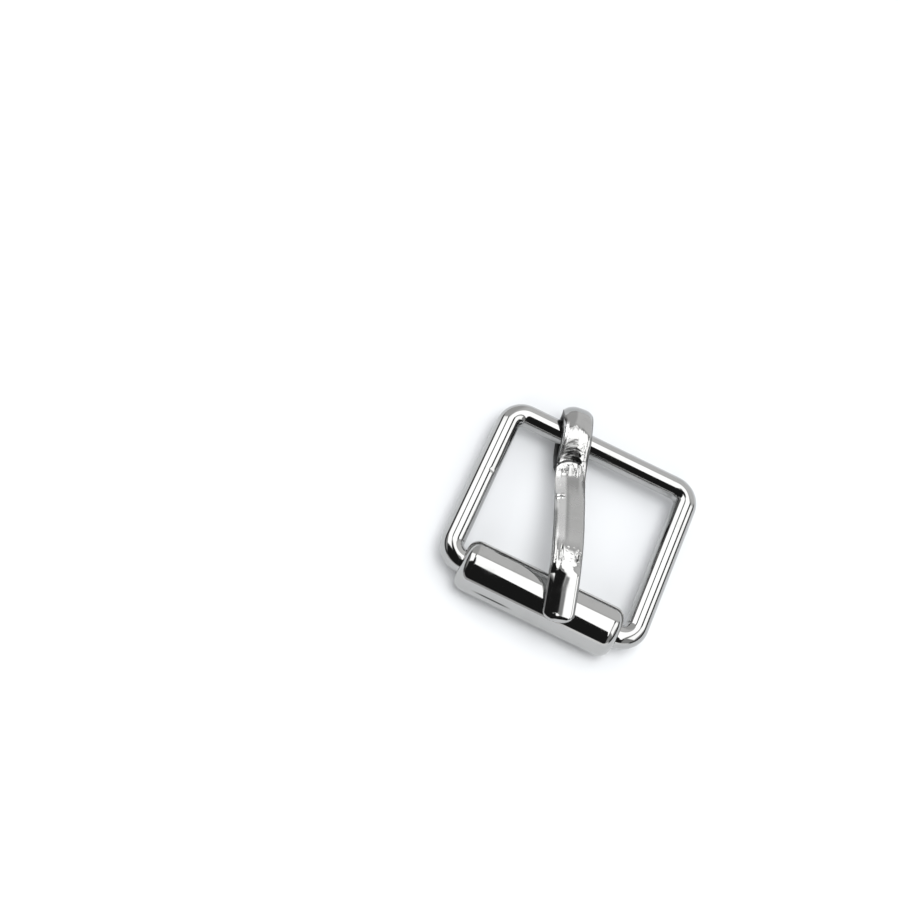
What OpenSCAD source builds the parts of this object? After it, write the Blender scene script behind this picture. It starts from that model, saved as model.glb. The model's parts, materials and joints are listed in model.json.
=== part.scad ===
// A roller buckle for a narrow strap: a closed wire frame, a sheet roller on its near bar and
// a hooked prong on its far bar. It lies flat, +X along the bars, +Y towards the hooked end.
// The origin is the middle of its footprint, on the surface that it lies on.

/* [Frame] */
// Clear width between the side bars, for the strap
strap_room = 16.4; // [14:0.1:20]
// Diameter of the frame's wire
wire_d = 2.2; // [1.8:0.05:2.4]
// Distance between the axes of the far and near bars
bar_pitch = 16.6; // [15:0.1:17.5]
// Bend radius of the wire's centre line at the corners
corner_r = 1.6; // [1.3:0.05:1.8]

/* [Roller] */
// Outside diameter of the roller
roller_d = 4.9; // [4.7:0.05:5.2]
// Thickness of the roller's sheet
sheet_t = 0.45; // [0.3:0.05:0.6]
// Play between each end of the roller and the side bar beside it
end_play = 0.4; // [0.3:0.05:0.8]
// Radius of the turned-in shoulders at the roller's ends
shoulder_r = 1.1; // [0.8:0.05:1.15]
// Width of the open seam between the sheet's edges
seam_gap = 0.5; // [0.2:0.05:0.6]
// Angle of the seam above the horizontal, on the side of the far bar
seam_angle = 58; // [30:1:75]

/* [Prong] */
// Width of the prong's strip
prong_w = 2.95; // [2.4:0.05:3.2]
// Width of the tail that is tucked below the far bar
tail_w = 2.3; // [1.8:0.05:2.4]
// Thickness of the strip
prong_t = 1.1; // [0.9:0.05:1.3]
// Angle that the prong stands off square to the bars
prong_yaw = 15.5; // [0:0.5:16]
// Place of the hook along the far bar
prong_x = -3.2; // [-4:0.1:-2]
// Inside radius of the hook
hook_r = 1.5; // [1.45:0.05:1.6]
// Distance from the far bar's axis to the hook's centre
hook_back = 0.4; // [0.35:0.05:0.5]
// Distance from the far bar's axis to the crease between hook and shank
crease_s = 3.1; // [2.8:0.1:3.6]
// Distance from the far bar's axis to the hump before the tip
hump_s = 14.6; // [14.2:0.1:15.2]
// Distance from the far bar's axis to the end of the tip
tip_s = 19.8; // [19.5:0.1:20.5]
// Slope of the tip down over the roller
tip_slope = 12; // [8:1:16]
// Gap between the resting tip's nearest edge and the roller
tip_gap = 0.05; // [0.03:0.01:0.1]

/* [Hidden] */
$fn = 96;

// Heights above the surface, and half sizes of the frame
axis_z = roller_d / 2;
half_x = (strap_room + wire_d) / 2;
half_y = bar_pitch / 2;

// The roller's length and the radius of the mouth at each end
roller_len = strap_room - 2 * end_play;
mouth_r = roller_d / 2 - shoulder_r;

// Corner radii of the tip, the tail and the hook, seen from above
tip_corner_r = 0.9;
tail_corner_r = 0.8;
hook_corner_r = 1.0;
// Steps in each small bend of the strip
bend_steps = 6;

// Heights along the prong are counted from the far bar's axis. The hook's lowest point lies on the surface.
hook_lift = hook_r + prong_t - axis_z;
arm_z = hook_lift + hook_r;
hook_reach = hook_back + hook_r + prong_t;
// The arm leaves the hook level and then drops to the crease
arm_level_s = 0.8;
arm_drop = 0.54;
crease_z = arm_z - arm_drop;
arm_bend_r = 1.5;
crease_r = 0.2;
// The tip lies on the roller where the roller's surface has the tip's own slope. Seen along the prong,
// the roller is wider than it is high, because the prong crosses it at an angle. For the same reason
// the roller lies farther along under one edge of the sloping tip, so that edge meets it first.
roller_s = bar_pitch / cos(prong_yaw);
roller_half_s = axis_z / cos(prong_yaw);
touch = atan(tan(tip_slope) * roller_half_s / axis_z);
touch_s = roller_s + roller_half_s * sin(touch);
edge_raise = prong_w / 2 * tan(prong_yaw) * tan(tip_slope);
touch_z = axis_z * cos(touch) + edge_raise + tip_gap;
hump_z = touch_z + (touch_s - hump_s) * tan(tip_slope);
tip_z = touch_z + (touch_s - tip_s) * tan(tip_slope);
hump_r = 9;
// Inner face of the prong from the top of the hook to the tip: distance, height, bend radius there
ARM = [
    [-hook_back, arm_z, 0],
    [arm_level_s, arm_z, arm_bend_r],
    [crease_s, crease_z, crease_r],
    [hump_s, hump_z, hump_r],
    [tip_s + 1, tip_z - tan(tip_slope), 0],
];
// Inner face of the tail, with heights counted downwards: distance, height, bend radius there
tail_turn_s = 1.5;
tail_end_s = 3.6;
tail_rise = 0.9;
tail_bend_r = 1;
tail_z = hook_r - hook_lift;
TAIL = [
    [-hook_back, tail_z, 0],
    [tail_turn_s, tail_z, tail_bend_r],
    [tail_end_s, tail_z - tail_rise, 0],
];

// How far the prong reaches past the middle between the bars, which sets the origin
function end_reach(end_s, corner) =
    (end_s - corner) * cos(prong_yaw) + (prong_w / 2 - corner) * sin(prong_yaw) + corner;
far_reach = end_reach(hook_reach, hook_corner_r) + half_y;
near_reach = end_reach(tip_s, tip_corner_r) - half_y;
middle_y = (near_reach - far_reach) / 2;
far_bar_y = middle_y + half_y;
near_bar_y = middle_y - half_y;

// Frame

module bar(length) {
    cylinder(h = length, d = wire_d, center = true);
}

module corner_bend() {
    rotate_extrude(angle = 90) translate([corner_r, 0]) circle(d = wire_d);
}

module frame() {
    straight_x = 2 * (half_x - corner_r);
    straight_y = 2 * (half_y - corner_r);
    color("silver") translate([0, middle_y, axis_z]) {
        for (side = [-1, 1]) {
            translate([0, side * half_y, 0]) rotate([0, 90, 0]) bar(straight_x);
            translate([side * half_x, 0, 0]) rotate([90, 0, 0]) bar(straight_y);
        }
        for (quarter = [0:3])
            rotate([0, 0, 180 * floor(quarter / 2)]) mirror([quarter % 2, 0, 0])
                translate([half_x - corner_r, half_y - corner_r, 0]) corner_bend();
    }
}

// Roller

// Half outline of a closed drum about the Y axis of the drawing, with rounded ends
module drum_outline(radius, length, round_r) {
    half = length / 2;
    translate([0, -half]) square([radius - round_r, length]);
    translate([0, -half + round_r]) square([radius, length - 2 * round_r]);
    intersection() {
        for (side = [-1, 1]) translate([radius - round_r, side * (half - round_r)]) circle(r = round_r);
        translate([0, -half]) square([radius, length]);
    }
}

module tube_outline() {
    inner_round = shoulder_r - sheet_t;
    difference() {
        drum_outline(roller_d / 2, roller_len, shoulder_r);
        drum_outline(roller_d / 2 - sheet_t, roller_len - 2 * sheet_t, inner_round);
        translate([0, -roller_len]) square([mouth_r, 2 * roller_len]);
    }
}

module roller() {
    color("silver") translate([0, near_bar_y, axis_z]) difference() {
        rotate([0, 90, 0]) rotate_extrude() tube_outline();
        rotate([seam_angle, 0, 0]) translate([-roller_len, 0, -seam_gap / 2])
            cube([2 * roller_len, roller_d, seam_gap]);
    }
}

// Prong

// Heading of a fold list's stretch after point i, and the turn at point i
function heading(folds, i) = atan2(folds[i + 1][1] - folds[i][1], folds[i + 1][0] - folds[i][0]);
function turn_at(folds, i) = heading(folds, i) - heading(folds, i - 1);
function upward(angle) = [-sin(angle), cos(angle)];

// Points round the bend at point i, raised above the inner face by the given height. A bend that turns down
// has its centre below the inner face, and one that turns up has it above the outer face.
function bend_points(folds, i, raise) =
    let (
        turn = turn_at(folds, i),
        start = heading(folds, i - 1),
        to_centre = turn > 0 ? folds[i][2] + prong_t : -folds[i][2],
        take = abs(to_centre) * tan(abs(turn) / 2),
        centre = [folds[i][0], folds[i][1]] - take * [cos(start), sin(start)] + to_centre * upward(start)
    )
    [for (step = [0:bend_steps]) centre + (raise - to_centre) * upward(start + turn * step / bend_steps)];

function end_point(folds, i, angle, raise) = [folds[i][0], folds[i][1]] + raise * upward(angle);

// One face of the strip along a fold list
function face_points(folds, raise) =
    let (last = len(folds) - 1)
    concat(
        [end_point(folds, 0, heading(folds, 0), raise)],
        [for (i = [1:last - 1]) each bend_points(folds, i, raise)],
        [end_point(folds, last, heading(folds, last - 1), raise)]
    );
function reversed(points) = [for (i = [len(points) - 1:-1:0]) points[i]];

// Side view of the strip along a fold list: distance to the right, height upwards
module strip_outline(folds) {
    polygon(concat(face_points(folds, 0), reversed(face_points(folds, prong_t))));
}

// Side view of the hook: a half ring behind the bar
module hook_outline() {
    outer_r = hook_r + prong_t;
    translate([-hook_back, hook_lift]) difference() {
        circle(r = outer_r);
        circle(r = hook_r);
        translate([0, -2 * outer_r]) square(4 * outer_r);
    }
}

// Stands a side view up and gives it the strip's width
module across(width) {
    rotate([90, 0, 0]) linear_extrude(width, center = true) children();
}

// Upright prism over a plan outline that ends at end_s in rounded corners
module end_trim(end_s, width, corner) {
    reach = end_s + 4;
    tall = 4 * roller_d;
    translate([-4, 0, -tall / 2]) linear_extrude(tall) {
        translate([0, -width / 2]) square([reach - corner, width]);
        translate([0, -width / 2 + corner]) square([reach, width - 2 * corner]);
        for (side = [-1, 1]) translate([reach - corner, side * (width / 2 - corner)]) circle(r = corner);
    }
}

module prong() {
    color("gainsboro") translate([prong_x, far_bar_y, axis_z]) rotate([0, 0, prong_yaw - 90]) {
        intersection() {
            across(prong_w) hook_outline();
            rotate([0, 0, 180]) end_trim(hook_reach, prong_w, hook_corner_r);
        }
        intersection() {
            across(prong_w) strip_outline(ARM);
            end_trim(tip_s, prong_w, tip_corner_r);
        }
        intersection() {
            mirror([0, 0, 1]) across(tail_w) strip_outline(TAIL);
            end_trim(tail_end_s, tail_w, tail_corner_r);
        }
    }
}

frame();
roller();
prong();
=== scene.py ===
"""Looks of a rectangular roller buckle in bright nickel plate: wire frame, sheet roller and formed prong.

Sizes given with MM are in metres. The prong's finish and relief count in plain millimetres over the flat
strip: along it from the crease towards the tip, and across it from its middle to the right.
"""

import json
import logging
import math
from collections.abc import Iterable
from dataclasses import dataclass, field

import bmesh
import bpy
from mathutils import Matrix, Vector


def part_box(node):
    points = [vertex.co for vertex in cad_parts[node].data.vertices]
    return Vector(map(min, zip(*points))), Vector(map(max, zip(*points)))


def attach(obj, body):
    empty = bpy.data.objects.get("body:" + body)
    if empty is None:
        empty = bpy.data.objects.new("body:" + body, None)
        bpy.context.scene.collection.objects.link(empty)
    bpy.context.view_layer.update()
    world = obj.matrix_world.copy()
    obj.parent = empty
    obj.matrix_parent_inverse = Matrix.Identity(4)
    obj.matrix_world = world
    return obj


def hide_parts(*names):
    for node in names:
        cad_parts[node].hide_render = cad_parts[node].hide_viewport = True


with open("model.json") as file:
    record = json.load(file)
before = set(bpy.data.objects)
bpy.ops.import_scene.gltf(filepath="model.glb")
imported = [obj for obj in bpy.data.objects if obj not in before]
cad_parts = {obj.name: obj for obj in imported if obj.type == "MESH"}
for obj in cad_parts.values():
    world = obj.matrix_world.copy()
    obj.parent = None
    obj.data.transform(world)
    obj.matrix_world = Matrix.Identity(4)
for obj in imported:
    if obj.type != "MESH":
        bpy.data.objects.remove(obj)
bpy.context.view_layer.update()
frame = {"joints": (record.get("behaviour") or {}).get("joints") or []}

log = logging.getLogger("buckle")

MM = 0.001
MERGE = 0.001 * MM
X_AXIS = Vector((1, 0, 0))
Y_AXIS = Vector((0, 1, 0))
Z_AXIS = Vector((0, 0, 1))

# Where a soft step is 0 and where it is 1
Rise = tuple[float, float]
# Low end, high end and softness of a band
Band = tuple[float, float, float]
# Low ends of bands that go on past the prong's left edge, and past its tail
OFF_LEFT = -2.0
OFF_TAIL = -20.0


# Shader nodes


class Value:
    """A number that runs through a node tree. An expression on it adds its Math nodes."""

    def __init__(self, tree: "Tree", socket: bpy.types.NodeSocket) -> None:
        """Wrap an output socket of the tree."""
        self.tree = tree
        self.socket = socket

    def __add__(self, other: "Term") -> "Value":
        """Sum."""
        return self.tree.math("ADD", self, other)

    def __radd__(self, other: "Term") -> "Value":
        """Sum with a plain number first."""
        return self.tree.math("ADD", other, self)

    def __sub__(self, other: "Term") -> "Value":
        """Difference."""
        return self.tree.math("SUBTRACT", self, other)

    def __rsub__(self, other: "Term") -> "Value":
        """Difference from a plain number."""
        return self.tree.math("SUBTRACT", other, self)

    def __mul__(self, other: "Term") -> "Value":
        """Product."""
        return self.tree.math("MULTIPLY", self, other)

    def __rmul__(self, other: "Term") -> "Value":
        """Product with a plain number first."""
        return self.tree.math("MULTIPLY", other, self)

    def __abs__(self) -> "Value":
        """Size without the sign."""
        return self.tree.math("ABSOLUTE", self)

    def step(self, low: float, high: float) -> "Value":
        """Rise smoothly from 0 to 1, or fall where low is above high.

        Args:
            low: number at which the step is 0.
            high: number at which it is 1.
        Returns:
            The step.
        """
        settings = {"interpolation_type": "SMOOTHSTEP"}
        ends = {"Value": self, "From Min": low, "From Max": high}
        return Value(self.tree, self.tree.node("ShaderNodeMapRange", settings, ends).outputs["Result"])

    def band(self, low: float, high: float, soft: float) -> "Value":
        """Be 1 between low and high and 0 outside, with edges of the given softness."""
        return self.step(low - soft, low + soft) * self.step(high + soft, high - soft)


Term = Value | float
Colour = tuple[float, float, float] | bpy.types.NodeSocket


def opaque(colour: Colour) -> tuple | bpy.types.NodeSocket:
    """Give a plain colour its alpha."""
    return (*colour, 1) if isinstance(colour, tuple) else colour


class Tree:
    """The node tree of a material or of the surroundings."""

    def __init__(self, owner: bpy.types.Material | bpy.types.World) -> None:
        """Empty the owner's node tree and take it over.

        Args:
            owner: the material or the surroundings.
        """
        owner.use_nodes = True
        self.tree = owner.node_tree
        self.tree.nodes.clear()

    def node(self, kind: str, settings: dict | None = None, inputs: dict | None = None) -> bpy.types.Node:
        """Add one node.

        Args:
            kind: type of the node.
            settings: the node's own options, set before its sockets.
            inputs: a number, colour, vector or link for each named or numbered socket.
        Returns:
            The new node.
        """
        made = self.tree.nodes.new(kind)
        for name, value in (settings or {}).items():
            setattr(made, name, value)
        for name, value in (inputs or {}).items():
            source = value.socket if isinstance(value, Value) else value
            if isinstance(source, bpy.types.NodeSocket):
                self.tree.links.new(source, made.inputs[name])
            else:
                made.inputs[name].default_value = source
        return made

    def surface(self, sockets: dict) -> None:
        """Shade the material by one Principled shader with the given sockets."""
        shader = self.node("ShaderNodeBsdfPrincipled", None, sockets)
        self.node("ShaderNodeOutputMaterial", None, {"Surface": shader.outputs["BSDF"]})

    def place(self) -> bpy.types.NodeSocket:
        """Object coordinates, in metres."""
        return self.node("ShaderNodeTexCoord").outputs["Object"]

    def parts(self, vector: bpy.types.NodeSocket) -> list[Value]:
        """The three numbers of a vector."""
        split = self.node("ShaderNodeSeparateXYZ", None, {"Vector": vector})
        return [Value(self, split.outputs[name]) for name in "XYZ"]

    def attribute(self, name: str) -> Value:
        """Read a number that a mesh stores at each vertex."""
        made = self.node("ShaderNodeAttribute", {"attribute_name": name})
        return Value(self, made.outputs["Fac"])

    def math(self, operation: str, *terms: Term) -> Value:
        """Add a Math node over one or two terms."""
        made = self.node("ShaderNodeMath", {"operation": operation}, dict(enumerate(terms)))
        return Value(self, made.outputs[0])

    def mix(self, factor: Term, low: Term, high: Term) -> Value:
        """Blend two numbers by a factor from 0 to 1."""
        made = self.node("ShaderNodeMix", {"data_type": "FLOAT"}, {0: factor, 2: low, 3: high})
        return Value(self, made.outputs[0])

    def tint(self, factor: Term, low: Colour, high: Colour) -> bpy.types.NodeSocket:
        """Blend two colours, each plain or out of a socket, by a factor from 0 to 1."""
        inputs = {0: factor, 6: opaque(low), 7: opaque(high)}
        return self.node("ShaderNodeMix", {"data_type": "RGBA"}, inputs).outputs[2]

    def noise(self, place: bpy.types.NodeSocket, size: float, detail: float) -> Value:
        """Cloudy noise from 0 to 1.

        Args:
            place: coordinates that the noise is read at.
            size: size of one wave, in the unit of the coordinates.
            detail: number of finer layers.
        Returns:
            The noise.
        """
        made = self.node("ShaderNodeTexNoise", None, {"Vector": place, "Scale": 1 / size, "Detail": detail})
        return Value(self, made.outputs["Fac"])

    def strip_noise(self, along: Value, across: Value, waves: tuple[float, float], detail: float) -> Value:
        """Cloudy noise over the prong's flat strip.

        Args:
            along: way along the strip.
            across: place across it.
            waves: waves in each unit along the strip and across it.
            detail: number of finer layers.
        Returns:
            The noise.
        """
        inputs = {"X": along * waves[0], "Y": across * waves[1]}
        place = self.node("ShaderNodeCombineXYZ", None, inputs).outputs["Vector"]
        return self.noise(place, 1.0, detail)


# Finishes


@dataclass(frozen=True)
class Nickel:
    """Bright nickel plate with the slight unevenness, tumbling marks and haze of a cheap finding.

    A mesh attribute is 1 where a piece is painted near black: painted shade inside the roller,
    inside the prong's hook and in its nick, and the prong's cut edges, partly bare plate and partly painted
    shade. Sizes and heights are in millimetres.
    """

    name: str
    slot: str
    colour: tuple[float, float, float] = (0.43, 0.43, 0.425)
    dull_colour: tuple[float, float, float] = (0.38, 0.38, 0.375)
    # Near black: painted shade, and the bare plate of cut edges
    shade_and_bare_colour: tuple[float, float, float] = (0.03, 0.03, 0.03)
    roughness: float = 0.05
    bare_roughness: float = 0.42
    haze: float = 0.07
    haze_tint: float = 0.6
    haze_size: float = 1.7
    haze_rise: Rise = (0.45, 0.8)
    wave_size: float = 3.0
    wave_height: float = 0.0016
    grain_size: float = 0.18
    grain_height: float = 0.0002

    def material(self) -> bpy.types.Material:
        """Build the finish.

        Returns:
            The material, with its slow waves, fine grain and haze.
        """
        made = bpy.data.materials.new(self.name)
        tree = Tree(made)
        place = tree.place()
        haze = tree.noise(place, self.haze_size * MM, 3).step(*self.haze_rise)
        # Mask of painted shade and bare cut edges, stored on the mesh
        bare_and_shade = tree.attribute("bare_and_shade")
        waves = tree.noise(place, self.wave_size * MM, 1)
        grain = tree.noise(place, self.grain_size * MM, 3)
        height = waves * self.wave_height + grain * self.grain_height + self.marks(tree, place)
        bump = tree.node("ShaderNodeBump", None, {"Strength": 1.0, "Distance": MM, "Height": height})
        tree.surface({
            "Base Color": tree.tint(bare_and_shade, self.plated(tree, place, haze), self.shade_and_bare_colour),
            "Metallic": 1.0,
            "Roughness": tree.mix(bare_and_shade, self.roughness_over(tree, haze), self.bare_roughness),
            "Normal": bump.outputs["Normal"],
        })
        return made

    def plated(self, tree: Tree, place: bpy.types.NodeSocket, haze: Value) -> bpy.types.NodeSocket:
        """Colour of the plate, duller where it is hazy."""
        return tree.tint(haze * self.haze_tint, self.colour, self.dull_colour)

    def roughness_over(self, tree: Tree, haze: Value) -> Value:
        """Roughness, higher where the plate is hazy."""
        return self.roughness + haze * self.haze

    def marks(self, tree: Tree, place: bpy.types.NodeSocket) -> Term:
        """Height of marks that only some pieces have, in millimetres."""
        return 0.0


@dataclass(frozen=True)
class RolledNickel(Nickel):
    """Nickel plate on the roller, with one fine dark line, slightly sunk, along its near side, placed in
    millimetres.
    """

    dark_line_x: Band = (-5.4, -2.4, 0.8)
    dark_line_z: Band = (2.82, 3.04, 0.03)
    dark_line_side: Rise = (-10.2, -10.4)
    dark_line_depth: float = 0.010
    dark_line_tint: float = 0.9

    def dark_line(self, tree: Tree, place: bpy.types.NodeSocket) -> Value:
        """Be 1 on the dark line and 0 elsewhere."""
        x, y, z = (part * (1 / MM) for part in tree.parts(place))
        return z.band(*self.dark_line_z) * x.band(*self.dark_line_x) * y.step(*self.dark_line_side)

    def plated(self, tree: Tree, place: bpy.types.NodeSocket, haze: Value) -> bpy.types.NodeSocket:
        """Colour of the plate, dark along the line."""
        # Painted near black along the line, which is also sunk slightly
        dark = self.dark_line(tree, place) * self.dark_line_tint
        return tree.tint(dark, super().plated(tree, place, haze), self.shade_and_bare_colour)

    def marks(self, tree: Tree, place: bpy.types.NodeSocket) -> Value:
        """Height of the sunk line, in millimetres."""
        return self.dark_line(tree, place) * -self.dark_line_depth


@dataclass(frozen=True)
class Patch:
    """A soft-edged patch of the prong's strip, over its whole width where across isn't given."""

    along: Band
    across: Band | None = None
    strength: float = 1.0

    def mask(self, along: Value, across: Value) -> Value:
        """Be the strength on the patch and 0 elsewhere."""
        found = along.band(*self.along) * self.strength
        return found if self.across is None else found * across.band(*self.across)


def masks(patches: tuple[Patch, ...], along: Value, across: Value) -> Value:
    """Sum of the masks of several patches."""
    first, *others = (patch.mask(along, across) for patch in patches)
    return sum(others, first)


@dataclass(frozen=True)
class PaintedReflectionDrips:
    """Painted dark reflection in drips that start at a line across the strip and run on, each to its own
    length.
    """

    line: float = -2.97
    right_lag: float = 0.6
    right_rise: Rise = (0.2, 1.2)
    waves: tuple[float, float] = (0.3, 3.4)
    spread: float = 2.5
    start: Rise = (-0.10, 0.20)
    end: Rise = (1.55, 1.25)
    strength: float = 0.55

    def mask(self, tree: Tree, along: Value, across: Value) -> Value:
        """Be the strength on a drip and 0 elsewhere.

        Args:
            tree: the finish's nodes.
            along: way along the strip.
            across: place across it.
        Returns:
            The mask.
        """
        lag = along - across.step(*self.right_rise) * self.right_lag - self.line
        run = lag + tree.strip_noise(along, across, self.waves, 3) * self.spread
        return lag.step(*self.start) * run.step(*self.end) * self.strength


@dataclass(frozen=True)
class FormedNickel(Nickel):
    """Nickel plate on the formed prong: satin along the shank and tool marks at its bends, with painted
    sheen, painted shade and painted dark reflections.
    """

    satin: float = 0.27
    satin_shank: Patch = Patch((1.8, 9.8, 0.6))
    nick: Patch = Patch((4.40, 5.00, 0.06), (OFF_LEFT, -0.575, 0.075))
    # Painted sheen on the shank's left facet and painted highlight on the arm's rim, which is also satin
    sheen_colour: tuple[float, float, float] = (0.72, 0.72, 0.715)
    highlight_colour: tuple[float, float, float] = (0.95, 0.95, 0.945)
    highlight_end: Rise = (4.6, 2.6)
    sheen_facet: Patch = Patch((1.8, 9.8, 0.5), (OFF_LEFT, -0.425, 0.175))
    satin_rim_with_sheen: Patch = Patch((-3.3, 2.0, 0.3), (-1.32, -0.95, 0.06))
    # Painted shade and dark reflection: a dark reflection band along the shank, painted shade past the hook
    # towards the tail, and painted shade on the shank's left edge before the hump
    shade_colour: tuple[float, float, float] = (0.33, 0.335, 0.33)
    painted_shades: tuple[Patch, ...] = (
        Patch((4.4, 9.6, 0.5), (-0.42, -0.10, 0.14), 0.6),
        Patch((OFF_TAIL, -4.6, 0.3), None, 0.8),
        Patch((6.2, 9.9, 0.4), (OFF_LEFT, -1.16, 0.06), 0.9),
    )
    crease_bow: float = 0.36
    crease_slant: float = 0.05
    # Painted shade along the crease's bottom
    crease_shade: Patch = Patch((0.08, 0.34, 0.05), (-1.36, 0.74, 0.06), 0.96)
    # Painted dark reflection lines over the ripples above the crease, darkest in one patch
    rippled: tuple[Patch, ...] = (
        Patch((-1.1, -0.32, 0.12), (-1.26, 0.40, 0.12)),
        Patch((-1.9, -1.1, 0.12), (-1.05, 0.05, 0.16)),
    )
    ripple_waves: tuple[float, float] = (4.2, 1.1)
    ripple_rise: Rise = (0.42, 0.56)
    ripple_tint: float = 0.8
    ripple_satin: float = 1.3
    darkest_ripple: Patch = Patch((-0.85, -0.50, 0.10), (-0.80, -0.20, 0.14), 0.6)
    # Painted dark reflection in drips along the hook's grey edge
    reflection_drips: PaintedReflectionDrips = PaintedReflectionDrips()
    streaked: tuple[Patch, ...] = (Patch((-3.6, -0.9, 0.5)), Patch((0.4, 1.9, 0.3), None, 0.5))
    streak_waves: tuple[float, float] = (0.9, 2.6)
    streak_height: float = 0.024
    pitted: tuple[Patch, ...] = (Patch((0.1, 1.6, 0.3)), Patch((10.2, 12.0, 0.4)), Patch((-1.6, -0.2, 0.3)))
    pit_size: float = 0.42
    pit_rise: Rise = (0.52, 0.66)
    pit_depth: float = 0.012

    def places(self, tree: Tree) -> tuple[Value, Value, Value]:
        """Way along the strip, place across it, and way past the bowed line of the crease."""
        along, across = tree.attribute("along"), tree.attribute("across")
        return along, across, along - across * across * self.crease_bow

    def plated(self, tree: Tree, place: bpy.types.NodeSocket, haze: Value) -> bpy.types.NodeSocket:
        """Colour of the plate: lighter where a sheen and highlight are painted, and darker where shade and
        dark reflections are painted.

        Args:
            tree: the finish's nodes.
            place: object coordinates.
            haze: how hazy the plate is.
        Returns:
            The colour.
        """
        along, across, _ = self.places(tree)
        # Painted sheen and painted highlight, brightest towards the crease
        satin_and_sheen = masks((self.sheen_facet, self.satin_rim_with_sheen), along, across)
        sheen_tone = tree.tint(along.step(*self.highlight_end), self.sheen_colour, self.highlight_colour)
        sheened = tree.tint(satin_and_sheen, super().plated(tree, place, haze), sheen_tone)
        # Painted shade and dark reflection in patches
        shaded = tree.tint(masks(self.painted_shades, along, across), sheened, self.shade_colour)
        # Painted shade and dark reflections, near black
        return tree.tint(self.painted_shade(tree), shaded, self.shade_and_bare_colour)

    def painted_shade(self, tree: Tree) -> Value:
        """Painted dark reflections in ripples above the crease and in drips along the hook's grey edge, and
        painted shade along the crease's bottom.

        Args:
            tree: the finish's nodes.
        Returns:
            The share of painted shade and dark reflection.
        """
        along, across, away = self.places(tree)
        lines = tree.strip_noise(away, across, self.ripple_waves, 2).step(*self.ripple_rise)
        dark = masks(self.rippled, away, across) * lines * self.ripple_tint
        dark += self.darkest_ripple.mask(away, across)
        dark += self.crease_shade.mask(away - across * self.crease_slant, across)
        return dark + self.reflection_drips.mask(tree, along, across)

    def roughness_over(self, tree: Tree, haze: Value) -> Value:
        """Roughness, satin on the shank outside its nick, on the arm's rim and over the ripples.

        Args:
            tree: the finish's nodes.
            haze: how hazy the plate is.
        Returns:
            The roughness.
        """
        along, across, away = self.places(tree)
        satin_and_sheen = self.satin_shank.mask(along, across) * (1 - self.nick.mask(along, across))
        satin_and_sheen += self.satin_rim_with_sheen.mask(along, across) + masks(self.rippled, away, across) * self.ripple_satin
        return self.roughness + haze * self.haze + satin_and_sheen * (self.satin - self.roughness)

    def marks(self, tree: Tree, place: bpy.types.NodeSocket) -> Value:
        """Height of the streaks over the hook and of the pits where the strip was pressed.

        Args:
            tree: the finish's nodes.
            place: object coordinates.
        Returns:
            The height in millimetres.
        """
        along, across, _ = self.places(tree)
        streaks = tree.strip_noise(along, across, self.streak_waves, 3) * masks(self.streaked, along, across)
        pits = tree.noise(place, self.pit_size * MM, 2).step(*self.pit_rise)
        pits *= masks(self.pitted, along, across)
        return streaks * self.streak_height - pits * self.pit_depth


@dataclass(frozen=True)
class PaleTable:
    """The table's matt finish, a little mottled."""

    name: str = "pale_table"
    colour: tuple[float, float, float] = (0.605, 0.62, 0.64)
    light_colour: tuple[float, float, float] = (0.63, 0.64, 0.65)
    mottle_size: float = 40.0
    roughness: float = 0.7
    gloss: float = 0.2

    def material(self) -> bpy.types.Material:
        """Build the finish.

        Returns:
            The material.
        """
        made = bpy.data.materials.new(self.name)
        tree = Tree(made)
        mottle = tree.noise(tree.place(), self.mottle_size * MM, 2)
        tree.surface({
            "Base Color": tree.tint(mottle, self.colour, self.light_colour),
            "Roughness": self.roughness,
            "Specular IOR Level": self.gloss,
        })
        return made


# Shapes


def bell(value: float, spread: float) -> float:
    """Rise to 1 at 0 and fade on both sides over the spread."""
    return math.exp(-((value / spread) ** 2))


def smooth(value: float, low: float, high: float) -> float:
    """Rise smoothly from 0 at low to 1 at high, or fall where low is above high."""
    part = min(1.0, max(0.0, (value - low) / (high - low)))
    return part * part * (3 - 2 * part)


def facing(angle: float) -> Vector:
    """Unit vector at an angle above the prong's own level."""
    return Vector((math.cos(angle), math.sin(angle)))


def distinct(parts: Iterable) -> list:
    """Each part of a mesh once, in a fixed order."""
    return list(dict.fromkeys(parts))


def finish_mesh(name: str, shape: bmesh.types.BMesh) -> bpy.types.Object:
    """Turn a finished shape into an object at the origin.

    Args:
        name: name of the piece.
        shape: its shape, in metres, which is freed.
    Returns:
        The object, shaded smoothly.
    """
    mesh = bpy.data.meshes.new(name)
    for face in shape.faces:
        face.smooth = True
    shape.to_mesh(mesh)
    shape.free()
    piece = bpy.data.objects.new(name, mesh)
    bpy.context.scene.collection.objects.link(piece)
    return piece


def extrude_loop(shape: bmesh.types.BMesh, edges: list, move: Vector, steps: int) -> list:
    """Extrude a loop of edges along a straight line.

    Args:
        shape: mesh that the edges belong to.
        edges: the loop.
        move: the whole way.
        steps: number of equal steps.
    Returns:
        The last loop of edges.
    """
    for _ in range(steps):
        made = bmesh.ops.extrude_edge_only(shape, edges=edges)["geom"]
        verts = [item for item in made if isinstance(item, bmesh.types.BMVert)]
        edges = [item for item in made if isinstance(item, bmesh.types.BMEdge)]
        bmesh.ops.translate(shape, verts=verts, vec=move / steps)
    return edges


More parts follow.
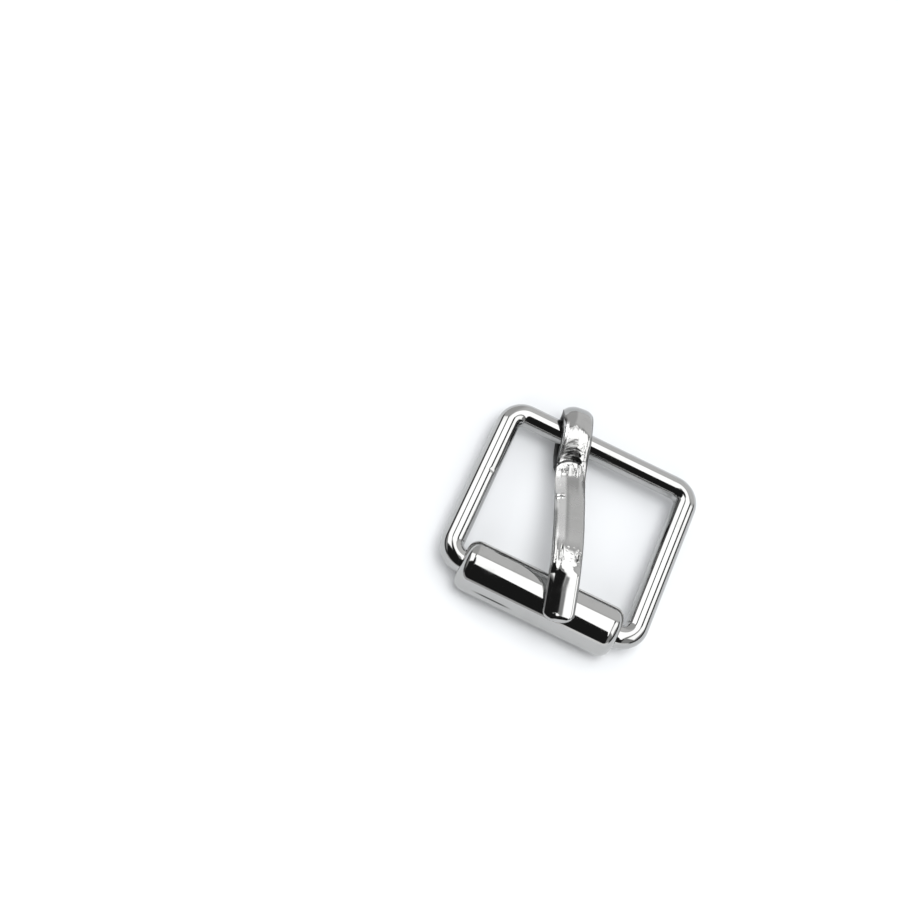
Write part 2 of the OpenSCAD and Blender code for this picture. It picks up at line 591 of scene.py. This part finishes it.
def spin_loop(
    shape: bmesh.types.BMesh, loop: list, centre: Vector, axis: Vector, angle: float, steps: int
) -> list:
    """Spin vertices or a loop of edges round an axis.

    Args:
        shape: mesh that they belong to.
        loop: the vertices, or the edges.
        centre: a point on the axis.
        axis: direction of the axis.
        angle: turn in radians.
        steps: number of equal steps.
    Returns:
        The last vertices, or the last edges, of the same kind as those given.
    """
    kind = type(loop[0])
    geom = list(loop)
    if kind is bmesh.types.BMEdge:
        geom += distinct(vert for edge in loop for vert in edge.verts)
    spun = bmesh.ops.spin(shape, geom=geom, cent=centre, axis=axis, angle=angle, steps=steps)
    return [item for item in spun["geom_last"] if isinstance(item, kind)]


def sharp_edges(shape: bmesh.types.BMesh, turn: float) -> list:
    """Edges at which the surface turns by more than an angle."""
    inner = (edge for edge in shape.edges if len(edge.link_faces) == 2)
    return [edge for edge in inner if edge.calc_face_angle() > turn]


def round_edges(shape: bmesh.types.BMesh, edges: list, size: float, steps: int) -> None:
    """Round edges off by a size, in a number of equal steps."""
    bmesh.ops.bevel(shape, geom=edges, offset=size, affect="EDGES", segments=steps, profile=0.5, material=-1)


# Frame


@dataclass
class WireFrame:
    """The closed rectangle of round wire."""

    finish: Nickel
    bend_r: float = 1.6 * MM
    sides: int = 56
    bend_steps: int = 18
    straight_steps: int = 6
    nick_place: Vector = field(default_factory=lambda: Vector((-8.82, 0.95, 0.99)) * MM)
    nick_reach: float = 0.28 * MM
    nick_depth: float = 0.04 * MM
    nick_steps: int = 12

    def __post_init__(self) -> None:
        """Take the wire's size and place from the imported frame."""
        low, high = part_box("frame")
        self.middle = (low + high) / 2
        self.wire_r = (high.z - low.z) / 2
        self.half_x = (high.x - low.x) / 2 - self.wire_r
        self.half_y = (high.y - low.y) / 2 - self.wire_r

    def build(self) -> bpy.types.Object:
        """Bend the wire round its four corners.

        Returns:
            The finished piece.
        """
        shape = bmesh.new()
        start = Vector((self.bend_r - self.half_x, self.half_y, 0))
        place = Matrix.Translation(start) @ Matrix.Rotation(math.pi / 2, 4, "Y")
        ring = bmesh.ops.create_circle(shape, segments=self.sides, radius=self.wire_r, matrix=place)["verts"]
        loop = distinct(edge for vert in ring for edge in vert.link_edges)
        heading = X_AXIS
        corner = Vector((self.half_x - self.bend_r, self.half_y - self.bend_r, 0))
        for side in range(4):
            long_side = side % 2 == 0
            span = self.half_x if long_side else self.half_y
            loop = extrude_loop(shape, loop, heading * 2 * (span - self.bend_r), self.straight_steps)
            loop = spin_loop(shape, loop, corner, Z_AXIS, -math.pi / 2, self.bend_steps)
            heading = Vector((heading.y, -heading.x, 0))
            corner = Vector((corner.x, -corner.y, 0)) if long_side else Vector((-corner.x, corner.y, 0))
        bmesh.ops.remove_doubles(shape, verts=shape.verts, dist=MERGE)
        bmesh.ops.recalc_face_normals(shape, faces=shape.faces)
        self.nick(shape)
        bmesh.ops.translate(shape, verts=shape.verts, vec=self.middle)
        return finish_mesh("wire_frame", shape)

    def nick(self, shape: bmesh.types.BMesh) -> None:
        """Press the small nick into the inner side of the left bar.

        Args:
            shape: the bent wire, with its middle at the origin.
        """
        for step in range(self.nick_steps + 1):
            cut = self.nick_place + Y_AXIS * self.nick_reach * (2 * step / self.nick_steps - 1)
            near = [face for face in shape.faces if face.calc_center_median().x < -self.half_x / 2]
            geom = near + distinct(edge for face in near for edge in face.edges)
            geom += distinct(vert for face in near for vert in face.verts)
            bmesh.ops.bisect_plane(shape, geom=geom, dist=MERGE, plane_co=cut, plane_no=Y_AXIS)
        for vert in shape.verts:
            away = (vert.co - self.nick_place).length / self.nick_reach
            if away < 1:
                vert.co -= vert.normal * self.nick_depth * (1 - away * away) ** 2

    def dress(self, piece: bpy.types.Object) -> None:
        """Plate the wire and put it in the frame's place.

        Args:
            piece: the finished wire.
        """
        piece.data.materials.append(self.finish.material())
        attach(piece, "frame")
        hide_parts("frame")


# Roller


@dataclass
class SheetRoller:
    """The sheet rolled round the near bar, with an open seam and turned-in ends."""

    finish: Nickel
    sheet: float = 0.45 * MM
    shoulder_r: float = 1.1 * MM
    seam_gap: float = 0.50 * MM
    seam_angle: float = math.radians(58)
    rim_r: float = 0.06 * MM
    rim_steps: int = 3
    rim_turn: float = 1.0
    inside_share: float = 0.2
    shoulder_steps: int = 14
    turn_steps: int = 120

    def __post_init__(self) -> None:
        """Take the roller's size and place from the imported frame."""
        low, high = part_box("roller")
        self.middle = (low + high) / 2
        self.outer_r = (high.z - low.z) / 2
        self.half_length = (high.x - low.x) / 2

    def build(self) -> bpy.types.Object:
        """Roll the sheet.

        Returns:
            The finished piece.
        """
        shape = bmesh.new()
        shoulder_x = self.half_length - self.shoulder_r
        shoulder_z = self.outer_r - self.shoulder_r
        left, right = (Vector((x, 0, shoulder_z)) for x in (-shoulder_x, shoulder_x))
        vert = shape.verts.new((-self.half_length, 0, shoulder_z))
        ends = spin_loop(shape, [vert], left, Y_AXIS, math.pi / 2, self.shoulder_steps)
        along = bmesh.ops.extrude_vert_indiv(shape, verts=ends)["verts"]
        bmesh.ops.translate(shape, verts=along, vec=right - left)
        spin_loop(shape, along, right, Y_AXIS, math.pi / 2, self.shoulder_steps)
        gap_turn = self.seam_gap / self.outer_r
        first = math.pi / 2 - self.seam_angle + gap_turn / 2
        bmesh.ops.rotate(shape, verts=shape.verts, cent=Vector(), matrix=Matrix.Rotation(-first, 3, "X"))
        spin_loop(shape, list(shape.edges), Vector(), X_AXIS, 2 * math.pi - gap_turn, self.turn_steps)
        bmesh.ops.remove_doubles(shape, verts=shape.verts, dist=MERGE)
        bmesh.ops.recalc_face_normals(shape, faces=shape.faces)
        if max(shape.faces, key=lambda face: face.calc_center_median().z).normal.z < 0:
            bmesh.ops.reverse_faces(shape, faces=shape.faces)
        bmesh.ops.solidify(shape, geom=shape.faces, thickness=self.sheet)
        bmesh.ops.recalc_face_normals(shape, faces=shape.faces)
        round_edges(shape, sharp_edges(shape, self.rim_turn), self.rim_r, self.rim_steps)
        # Painted shade on the roller's inner face
        self.paint_inside_shade(shape, shoulder_x)
        bmesh.ops.translate(shape, verts=shape.verts, vec=self.middle)
        return finish_mesh("sheet_roller", shape)

    def paint_inside_shade(self, shape: bmesh.types.BMesh, reach: float) -> None:
        """Paint shade on the inner face, between the shoulders, by marking it near black.

        Args:
            shape: the rolled sheet, with its middle at the origin.
            reach: where the shoulders start, counted from the middle.
        """
        bare_and_shade = shape.verts.layers.float.new("bare_and_shade")
        for vert in shape.verts:
            axis_way = math.hypot(vert.co.y, vert.co.z)
            inside = axis_way < self.outer_r - self.inside_share * self.sheet and abs(vert.co.x) < reach
            # Painted shade: near black on the inner face and the inner part of the seam's walls
            vert[bare_and_shade] = 1.0 if inside else 0.0

    def dress(self, piece: bpy.types.Object) -> None:
        """Plate the roller and put it in the roller's place.

        Args:
            piece: the finished roller.
        """
        piece.data.materials.append(self.finish.material())
        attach(piece, "roller")
        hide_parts("roller")


# Prong


@dataclass(frozen=True)
class Stretch:
    """One straight or round stretch of the prong's middle layer, seen from the side.

    A straight stretch has no turn. A round one turns by turn radians, upwards when heading along the prong.
    """

    start: Vector
    heading: float
    length: float
    turn: float = 0.0

    def point(self, way: float) -> tuple[Vector, float]:
        """Find a point of the stretch.

        Args:
            way: way along the stretch.
        Returns:
            The place and the heading there.
        """
        if self.turn == 0:
            return self.start + way * facing(self.heading), self.heading
        radius = self.length / self.turn
        now = self.heading + way / radius
        centre = self.start + radius * facing(self.heading + math.pi / 2)
        return centre - radius * facing(now + math.pi / 2), now


@dataclass(frozen=True)
class Fold:
    """A corner of the prong's middle layer: distance from the far bar, height above it, and bend radius."""

    away: float
    height: float
    bend_r: float = 0.0


class FoldPath:
    """The prong's middle layer from the tail's end to the tip, as straight and round stretches."""

    def __init__(self, folds: list[Fold]) -> None:
        """Join the folds by straight stretches and round them off.

        Args:
            folds: the corners in order, of which the first and the last have no bend.
        """
        self.stretches: list[Stretch] = []
        corners = [Vector((fold.away, fold.height)) for fold in folds]
        headings = [math.atan2(*reversed(b - a)) for a, b in zip(corners, corners[1:])]
        start = corners[0]
        for i in range(1, len(corners) - 1):
            heading = headings[i - 1]
            turn = math.remainder(headings[i] - heading, 2 * math.pi)
            take = folds[i].bend_r * math.tan(abs(turn) / 2)
            bend_start = corners[i] - take * facing(heading)
            self.add(Stretch(start, heading, (bend_start - start).length))
            self.add(Stretch(bend_start, heading, folds[i].bend_r * abs(turn), turn))
            start = corners[i] + take * facing(headings[i])
        self.add(Stretch(start, headings[-1], (corners[-1] - start).length))

    def add(self, stretch: Stretch) -> None:
        """Add a stretch at the end, unless it has no length."""
        if stretch.length > MERGE:
            self.stretches.append(stretch)

    @property
    def length(self) -> float:
        """Length of the whole path."""
        return sum(stretch.length for stretch in self.stretches)

    def point(self, way: float) -> tuple[Vector, float]:
        """Find a point of the path.

        Args:
            way: way from the path's start.
        Returns:
            The place and the heading there.
        """
        for stretch in self.stretches[:-1]:
            if way <= stretch.length:
                return stretch.point(way)
            way -= stretch.length
        return self.stretches[-1].point(way)


@dataclass(frozen=True)
class Fade:
    """A size that is full before the start and has lost its share of loss from the end on."""

    full: float
    loss: float
    start: float
    end: float

    def at(self, x: float) -> float:
        """The size at a way along the strip."""
        return self.full * (1 - self.loss * smooth(x, self.start, self.end))


@dataclass(frozen=True)
class Bump:
    """A rounded rise, or a dent where its height is negative, over the whole width where it has none."""

    height: float
    x: float
    length: float
    w: float = 0.0
    width: float = math.inf

    def at(self, x: float, w: float = 0.0) -> float:
        """The height at a place on the strip."""
        return self.height * bell(x - self.x, self.length) * bell(w - self.w, self.width)


@dataclass(frozen=True)
class PressedFace:
    """Relief of the prong's outer face in millimetres, with x along the strip and w across it."""

    hump_x: float
    crown_half: float = 1.475
    crease_middle: float = 0.11
    crease_slant: float = 0.05
    crease_bow: float = 0.355
    corner_w: float = 0.6
    corner_bow: float = 1.2
    crease_reach: Rise = (-0.2, 0.9)
    hook_bump: Bump = Bump(0.15, -2.95, 1.2)
    hook_lean: Fade = Fade(0.0217, 0.6, -3.3, -2.1)
    hook_crown: Fade = Fade(0.28, 0.85, -4.2, -2.2)
    lean_w: float = -1.0
    crown_w: float = -0.05
    arm_slope: float = 0.3
    groove_depth: float = 0.11
    groove_rise: Rise = (-0.42, -0.05)
    groove_end: Rise = (0.9, 0.4)
    dent_depth: float = 0.24
    dent_w: float = -0.25
    dent_width: float = 0.75
    dent_rise: Rise = (-1.9, 0.5)
    dent_end: Rise = (5.0, 1.9)
    ripple: Bump = Bump(0.013, -1.2, 0.6, -0.15, 0.7)
    ripple_waves: float = 18.0
    gleam: Bump = Bump(0.012, -0.5, 0.06)
    gleam_end: Rise = (1.0, 0.5)
    shank_crown: float = 0.05
    shank_end: Rise = (0.2, -1.6)
    facet_w: float = -0.25
    facet_slope: float = 0.14
    facet_start: Bump = Bump(0.12, -9.1, 2.0)
    hump_kink: Bump = Bump(-0.08, 0.3, 0.9, -0.70, 0.17)
    hump_slope: Bump = Bump(0.15, 0.6, 0.85)
    hump_slope_w: float = 0.50
    tip_rise: Rise = (1.1, 2.1)
    tip_crown: float = 0.14
    tip_roll: float = 0.16
    lip_height: float = 0.03
    lip_rise: Rise = (5.55, 5.67)
    lip_fall: Rise = (6.4, 5.67)
    lip_w: float = -0.4
    lip_width: float = 0.22
    nick_x: float = 4.70
    nick_side: Rise = (-0.5, -0.75)
    nick_bumps: tuple[Bump, ...] = (Bump(0.06, -0.25, 0.15), Bump(0.05, 0.14, 0.13), Bump(-0.06, 0.0, 0.06))

    def height(self, x: float, w: float) -> float:
        """Height of the pressed face above the flat one.

        Args:
            x: way from the crease towards the tip.
            w: place across the strip.
        Returns:
            The height, negative where the face is lower.
        """
        corner = self.corner_bow * max(0.0, w - self.corner_w) ** 2
        crease = self.crease_middle + self.crease_slant * w + self.crease_bow * w**2 + corner
        before, behind = self.crease_reach
        hook = 1 - smooth(x, crease + before, crease + behind)
        relief = self.hooked(x, w) * hook + self.creased(x, w, crease) + self.nicked(x - self.nick_x, w)
        return relief + self.humped(x - self.hump_x, w) * (1 - hook)

    def hooked(self, x: float, w: float) -> float:
        """Height over the hook and its arm, rounded on the left and leaning to the right."""
        lean = self.hook_lean.at(x) * (w - self.lean_w) ** 3
        return self.hook_bump.at(x) - lean - self.hook_crown.at(x) * max(0.0, self.crown_w - w) ** 2

    def creased(self, x: float, w: float, crease: float) -> float:
        """Height of the crease, of the ripples above it and of the dent round it.

        Args:
            x: way from the crease's own fold towards the tip.
            w: place across the strip.
            crease: where the bowed line of the crease runs at that place.
        Returns:
            The height.
        """
        fall = self.arm_slope * min(max(x, 0.0), crease)
        fall += self.groove_depth * smooth(x - crease, *self.groove_rise) * smooth(w, *self.groove_end)
        fall += self.dent_depth * smooth(x, *self.dent_rise) * bell(w - self.dent_w, self.dent_width)
        ripples = self.ripple.at(x, w) * math.sin(self.ripple_waves * (x - crease))
        gleam = self.gleam.at(x - crease) * smooth(w, *self.gleam_end)
        return ripples + gleam - fall * smooth(x, *self.dent_end)

    def humped(self, x: float, w: float) -> float:
        """Height over the shank, the hump and the tip.

        Args:
            x: way from the hump towards the tip.
            w: place across the strip.
        Returns:
            The height.
        """
        tip = smooth(x, *self.tip_rise)
        crown = self.shank_crown + (self.tip_crown - self.shank_crown) * tip
        facet = (self.facet_slope + self.facet_start.at(x)) * max(0.0, self.facet_w - w)
        relief = self.tip_roll * w * tip - crown * (w / self.crown_half) ** 2
        relief -= facet * smooth(x, *self.shank_end)
        relief += self.hump_kink.at(x, w) - self.hump_slope.at(x) * max(0.0, w - self.hump_slope_w)
        lip = self.lip_height * smooth(x, *self.lip_rise) * smooth(x, *self.lip_fall)
        return relief + lip * bell(w - self.lip_w, self.lip_width)

    def nicked(self, x: float, w: float) -> float:
        """Height of the nick in the shank's left edge, with its raised lips, at a way from its middle."""
        return sum(bump.at(x) for bump in self.nick_bumps) * smooth(w, *self.nick_side)


@dataclass(frozen=True)
class BareEdgesAndShade:
    """Where the prong is painted near black: painted shade inside its hook and in its nick, and its cut
    edges, partly bare plate and partly painted shade.
    """

    half_wide: float
    nick_x: float
    most: float = 0.95
    hook_end: Rise = (0.0, 3.0)
    shank_gain: float = 0.35
    hump_gain: float = 0.5
    hump_rise: Rise = (10.0, 11.5)
    left_edge: float = 0.07
    right_edge: float = 0.16
    edge_soft: float = 0.05
    groove_width: float = 0.045
    groove_side: Rise = (-0.5, -0.7)

    def at(self, x: float, w: float, inner: bool) -> float:
        """Share of near black at a place on the strip: painted shade, and bare plate on the cut edges.

        Args:
            x: way from the crease towards the tip.
            w: place across the strip.
            inner: whether the place is on the inner face.
        Returns:
            The share, from 0 to 1.
        """
        shank = smooth(x, *self.hook_end)
        edge_most = self.most - self.shank_gain * shank
        start = self.half_wide - self.right_edge
        if w < 0:
            edge_most -= self.hump_gain * smooth(x, *self.hump_rise)
            start = self.half_wide - self.left_edge
        # Cut edges: partly bare plate, partly painted shade
        edge = edge_most * smooth(abs(w), start, start + self.edge_soft)
        # Painted shade inside the hook
        inside = self.most * (1 - shank) if inner else 0.0
        # Painted shade in the nick's groove
        groove = bell(x - self.nick_x, self.groove_width) * smooth(w, *self.groove_side)
        return max(edge, inside, groove)


@dataclass
class Prong:
    """The formed strip: tail, hook, crease, shank, hump and tip."""

    finish: FormedNickel
    thick: float = 1.1 * MM
    wide: float = 2.90 * MM
    rim_r: float = 0.48 * MM
    rim_steps: int = 6
    yaw: float = math.radians(15.5)
    bar_x: float = -3.2 * MM
    tail_wide: float = 2.3 * MM
    tail_blend: tuple[float, float] = (6.6 * MM, 9.2 * MM)
    tail_corner_r: float = 0.8 * MM
    tail_end: Fold = Fold(3.45 * MM, -1.06 * MM)
    tail_away: float = 1.45 * MM
    tail_bend_r: float = 1.5 * MM
    hook_r: float = 2.05 * MM
    hook_back: float = 0.4 * MM
    hook_lift: float = 0.15 * MM
    arm_away: float = 1.65 * MM
    arm_bend_r: float = 2.2 * MM
    crease: Fold = Fold(3.05 * MM, 1.50 * MM, 0.15 * MM)
    shank_foot: Fold = Fold(4.9 * MM, 1.42 * MM, 2.0 * MM)
    hump_away: float = 13.6 * MM
    hump_r: float = 13.0 * MM
    touch_away: float = 17.775 * MM
    touch_height: float = 3.09 * MM
    tip_away: float = 19.8 * MM
    tip_slope: float = math.radians(12)
    tip_corner_r: float = 0.9 * MM
    rings: int = 560
    cells: int = 26
    search_steps: int = 40

    def __post_init__(self) -> None:
        """Take the far bar's axis from the prong's joint."""
        hinge = next(joint for joint in frame["joints"] if joint["child"] == "prong")
        self.axis = Vector((self.bar_x, hinge["pos_m"][1], hinge["pos_m"][2]))
        self.path = FoldPath(self.folds())
        self.crease_way = self.way_to(self.crease.away)
        self.face = PressedFace(hump_x=(self.way_to(self.hump_away) - self.crease_way) / MM)
        self.shade_map = BareEdgesAndShade(half_wide=self.wide / 2 / MM, nick_x=self.face.nick_x)

    def folds(self) -> list[Fold]:
        """Corners of the middle layer, from the tail's end round the hook to the tip.

        Returns:
            The folds in order.
        """
        below = self.hook_lift - self.hook_r
        above = self.hook_lift + self.hook_r
        behind = -self.hook_back - self.hook_r
        slope = math.tan(self.tip_slope)
        hump_height = self.touch_height + (self.touch_away - self.hump_away) * slope
        tip_height = self.touch_height + (self.touch_away - self.tip_away) * slope
        return [
            self.tail_end,
            Fold(self.tail_away, below, self.tail_bend_r),
            Fold(behind, below, self.hook_r),
            Fold(behind, above, self.hook_r),
            Fold(self.arm_away, above, self.arm_bend_r),
            self.crease,
            self.shank_foot,
            Fold(self.hump_away, hump_height, self.hump_r),
            Fold(self.tip_away, tip_height),
        ]

    def way_to(self, away: float) -> float:
        """Find a distance from the far bar on the path's upper side.

        Args:
            away: the distance, past the hook.
        Returns:
            The way along the path.
        """
        high = self.path.length
        # From there to the tip the path is less than a tenth longer than the straight distance
        low = high - 1.1 * (self.tip_away - away)
        for _ in range(self.search_steps):
            middle = (low + high) / 2
            if self.path.point(middle)[0].x < away:
                low = middle
            else:
                high = middle
        return low

    def build(self) -> bpy.types.Object:
        """Cut the strip, press its surface and fold it.

        Returns:
            The finished piece.
        """
        shape = self.blank()
        along = shape.verts.layers.float.new("along")
        across = shape.verts.layers.float.new("across")
        bare_and_shade = shape.verts.layers.float.new("bare_and_shade")
        for vert in shape.verts:
            way, side, height = vert.co
            x = (way - self.crease_way) / MM
            vert[along] = x
            vert[across] = side / MM
            # Painted shade and bare cut edges, as a mesh mask
            vert[bare_and_shade] = self.shade_map.at(x, side / MM, height < -self.thick / 4)
            side *= self.half_width(way) / (self.wide / 2)
            outer = max(0.0, height / (self.thick / 2))
            height += outer * self.face.height(x, side / MM) * MM
            place, heading = self.path.point(way)
            place += height * facing(heading + math.pi / 2)
            vert.co = Vector((place.x, side, place.y))
        turn = Matrix.Rotation(self.yaw - math.pi / 2, 4, "Z")
        bmesh.ops.transform(shape, matrix=Matrix.Translation(self.axis) @ turn, verts=shape.verts)
        bmesh.ops.recalc_face_normals(shape, faces=shape.faces)
        return finish_mesh("formed_prong", shape)

    def blank(self) -> bmesh.types.BMesh:
        """The flat strip with rounded rims, cut fine enough to press and fold.

        Returns:
            The strip along X, from 0 to the path's length.
        """
        shape = bmesh.new()
        length = self.path.length
        bmesh.ops.create_cube(shape, size=1)
        bmesh.ops.scale(shape, verts=shape.verts, vec=Vector((length, self.wide, self.thick)))
        bmesh.ops.translate(shape, verts=shape.verts, vec=X_AXIS * length / 2)
        round_edges(shape, shape.edges, self.rim_r, self.rim_steps)
        for axis, reach, cuts in ((0, length, self.rings), (1, self.wide, self.cells)):
            long_edges = [edge for edge in shape.edges if self.span(edge, axis) > reach / 2]
            bmesh.ops.subdivide_edges(shape, edges=long_edges, cuts=cuts, use_grid_fill=True)
        return shape

    def span(self, edge: bmesh.types.BMEdge, axis: int) -> float:
        """Length of an edge along one axis."""
        return abs(edge.verts[0].co[axis] - edge.verts[1].co[axis])

    def half_width(self, way: float) -> float:
        """Half the strip's width, with rounded corners at both ends.

        Args:
            way: way along the strip.
        Returns:
            Half the width there.
        """
        half = (self.tail_wide + (self.wide - self.tail_wide) * smooth(way, *self.tail_blend)) / 2
        from_tip = self.path.length - way
        for left, corner in ((from_tip, self.tip_corner_r), (way, self.tail_corner_r)):
            if left < corner:
                half -= corner - math.sqrt(max(0.0, corner**2 - (corner - left) ** 2))
        return half

    def dress(self, piece: bpy.types.Object) -> None:
        """Plate the prong and put it in the prong's place.

        Args:
            piece: the finished prong.
        """
        piece.data.materials.append(self.finish.material())
        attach(piece, "prong")
        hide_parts("prong")


# Studio


@dataclass(frozen=True)
class Card:
    """A soft-edged card or gap round the buckle.

    It is a patch of directions: x to the right and y away from the buckle. Lean slants it in plan.
    """

    level: float
    x: tuple[float, float]
    y: tuple[float, float]
    soft: float = 0.04
    lean: float = 0.0


@dataclass(frozen=True)
class Lamp:
    """A round lamp: where it hangs, seen from the buckle, its diameter in metres and its power in watts."""

    name: str
    direction: tuple[float, float, float]
    size: float
    energy: float


@dataclass
class Studio:
    """The pale table, the soft light round it and the camera."""

    elevation: float = math.radians(62.51)
    roll: float = math.radians(25.9)
    distance: float = 155.4 * MM
    aim_height: float = 2.5 * MM
    slide_right: float = -11.3 * MM
    slide_up: float = 6.86 * MM
    lens: float = 66.62
    table_half: float = 2.0
    table_finish: PaleTable = PaleTable()
    base_level: float = 0.44
    cards: tuple[Card, ...] = (
        Card(0.68, (-1.1, 1.1), (0.54, 1.1), 0.03),
        Card(0.97, (-0.15, 1.1), (0.58, 1.1), 0.10),
        Card(0.44, (0.25, 1.1), (-1.1, -0.15), 0.06),
        Card(0.02, (0.20, 0.50), (-1.1, -0.45), 0.04),
        Card(2.45, (-0.14, 0.42), (-0.6, 0.53), 0.025),
        Card(0.02, (-0.85, -0.12), (-1.1, -0.05), 0.03),
        Card(0.02, (-0.14, 0.32), (-1.1, -0.19), 0.02, -1.1),
        Card(2.30, (0.55, 0.88), (-0.3, 0.52), 0.04),
        Card(0.66, (0.40, 0.56), (0.38, 0.60), 0.03),
        Card(0.02, (0.39, 0.57), (0.38, 0.535), 0.02),
        Card(2.45, (-0.84, -0.40), (0.0, 0.52), 0.03),
        Card(2.45, (-0.30, -0.10), (0.32, 0.52), 0.03),
        Card(0.02, (-0.38, -0.12), (-0.5, 0.24), 0.03),
        Card(0.45, (-0.12, -0.03), (-0.25, 0.12), 0.02),
        Card(0.04, (-0.41, -0.27), (0.36, 0.535), 0.02),
    )
    near_height: Rise = (0.17, 0.14)
    near_front: Rise = (-0.4, -0.6)
    near_split: Rise = (0.09, 0.14)
    near_levels: tuple[float, float] = (0.66, 1.30)
    side_height: Rise = (0.34, 0.24)
    side_reach: Rise = (0.75, 0.85)
    side_level: float = 0.10
    lamp_distance: float = 0.6
    lamps: tuple[Lamp, ...] = (
        Lamp("soft_key", (0.05, -0.15, 0.98), 0.35, 2.25),
        Lamp("soft_fill", (0.0, -0.86, 0.5), 0.5, 2.2),
    )

    def build(self) -> None:
        """Set up the table, the light and the camera."""
        self.table()
        self.surroundings()
        for lamp in self.lamps:
            self.hang(lamp)
        self.camera()

    def table(self) -> None:
        """Lay the pale table under the buckle."""
        shape = bmesh.new()
        bmesh.ops.create_grid(shape, x_segments=1, y_segments=1, size=self.table_half)
        table = finish_mesh("table", shape)
        table.data.materials.append(self.table_finish.material())

    def surroundings(self) -> None:
        """Hang the cards and gaps round the table, with a split card low in front and dark low sides."""
        world = bpy.data.worlds.new("studio")
        bpy.context.scene.world = world
        tree = Tree(world)
        x, y, z = tree.parts(tree.node("ShaderNodeTexCoord").outputs["Generated"])
        level: Term = self.base_level
        for card in self.cards:
            mask = x.band(*card.x, card.soft) * (y - x * card.lean).band(*card.y, card.soft)
            level = tree.mix(mask, level, card.level)
        near = z.step(*self.near_height) * y.step(*self.near_front)
        level = tree.mix(near, level, tree.mix(x.step(*self.near_split), *self.near_levels))
        sides = z.step(*self.side_height) * abs(x).step(*self.side_reach)
        level = tree.mix(sides, level, self.side_level)
        shader = tree.node("ShaderNodeBackground", None, {"Color": (1, 1, 1, 1), "Strength": level})
        tree.node("ShaderNodeOutputWorld", None, {"Surface": shader.outputs["Background"]})

    def hang(self, lamp: Lamp) -> None:
        """Light the table softly from one direction, without a reflection in the metal.

        Args:
            lamp: the lamp to hang.
        """
        data = bpy.data.lights.new(lamp.name, "AREA")
        data.shape = "DISK"
        data.size = lamp.size
        data.energy = lamp.energy
        hung = bpy.data.objects.new(lamp.name, data)
        direction = Vector(lamp.direction)
        hung.location = direction.normalized() * self.lamp_distance
        hung.rotation_euler = direction.to_track_quat("Z", "Y").to_euler()
        hung.visible_glossy = False
        bpy.context.scene.collection.objects.link(hung)

    def camera(self) -> None:
        """Put the camera where the photograph was taken from."""
        back = Vector((0, -math.cos(self.elevation), math.sin(self.elevation)))
        level_up = back.cross(X_AXIS)
        right = math.cos(self.roll) * X_AXIS + math.sin(self.roll) * level_up
        up = math.cos(self.roll) * level_up - math.sin(self.roll) * X_AXIS
        low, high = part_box("frame")
        aim = Vector((0, (low.y + high.y) / 2, self.aim_height))
        data = bpy.data.cameras.new("camera")
        data.lens = self.lens
        data.clip_start = 1 * MM
        camera = bpy.data.objects.new("camera", data)
        turn = Matrix((right, up, back)).transposed().to_4x4()
        place = aim + back * self.distance + right * self.slide_right + up * self.slide_up
        camera.matrix_world = Matrix.Translation(place) @ turn
        bpy.context.scene.collection.objects.link(camera)
        bpy.context.scene.camera = camera
        bpy.context.scene.view_settings.view_transform = "Standard"


def main() -> None:
    """Build the buckle's pieces and the studio, and report each."""
    logging.basicConfig(level=logging.INFO, format="%(message)s")
    pieces = (
        WireFrame(Nickel("wire_nickel", "frame")),
        SheetRoller(RolledNickel("roller_nickel", "roller")),
        Prong(FormedNickel("prong_nickel", "prong")),
    )
    for maker in pieces:
        piece = maker.build()
        maker.dress(piece)
        log.info("%s: %d faces", piece.name, len(piece.data.polygons))
    Studio().build()
    log.info("studio: table, light and camera")


if __name__ == "__main__":
    main()
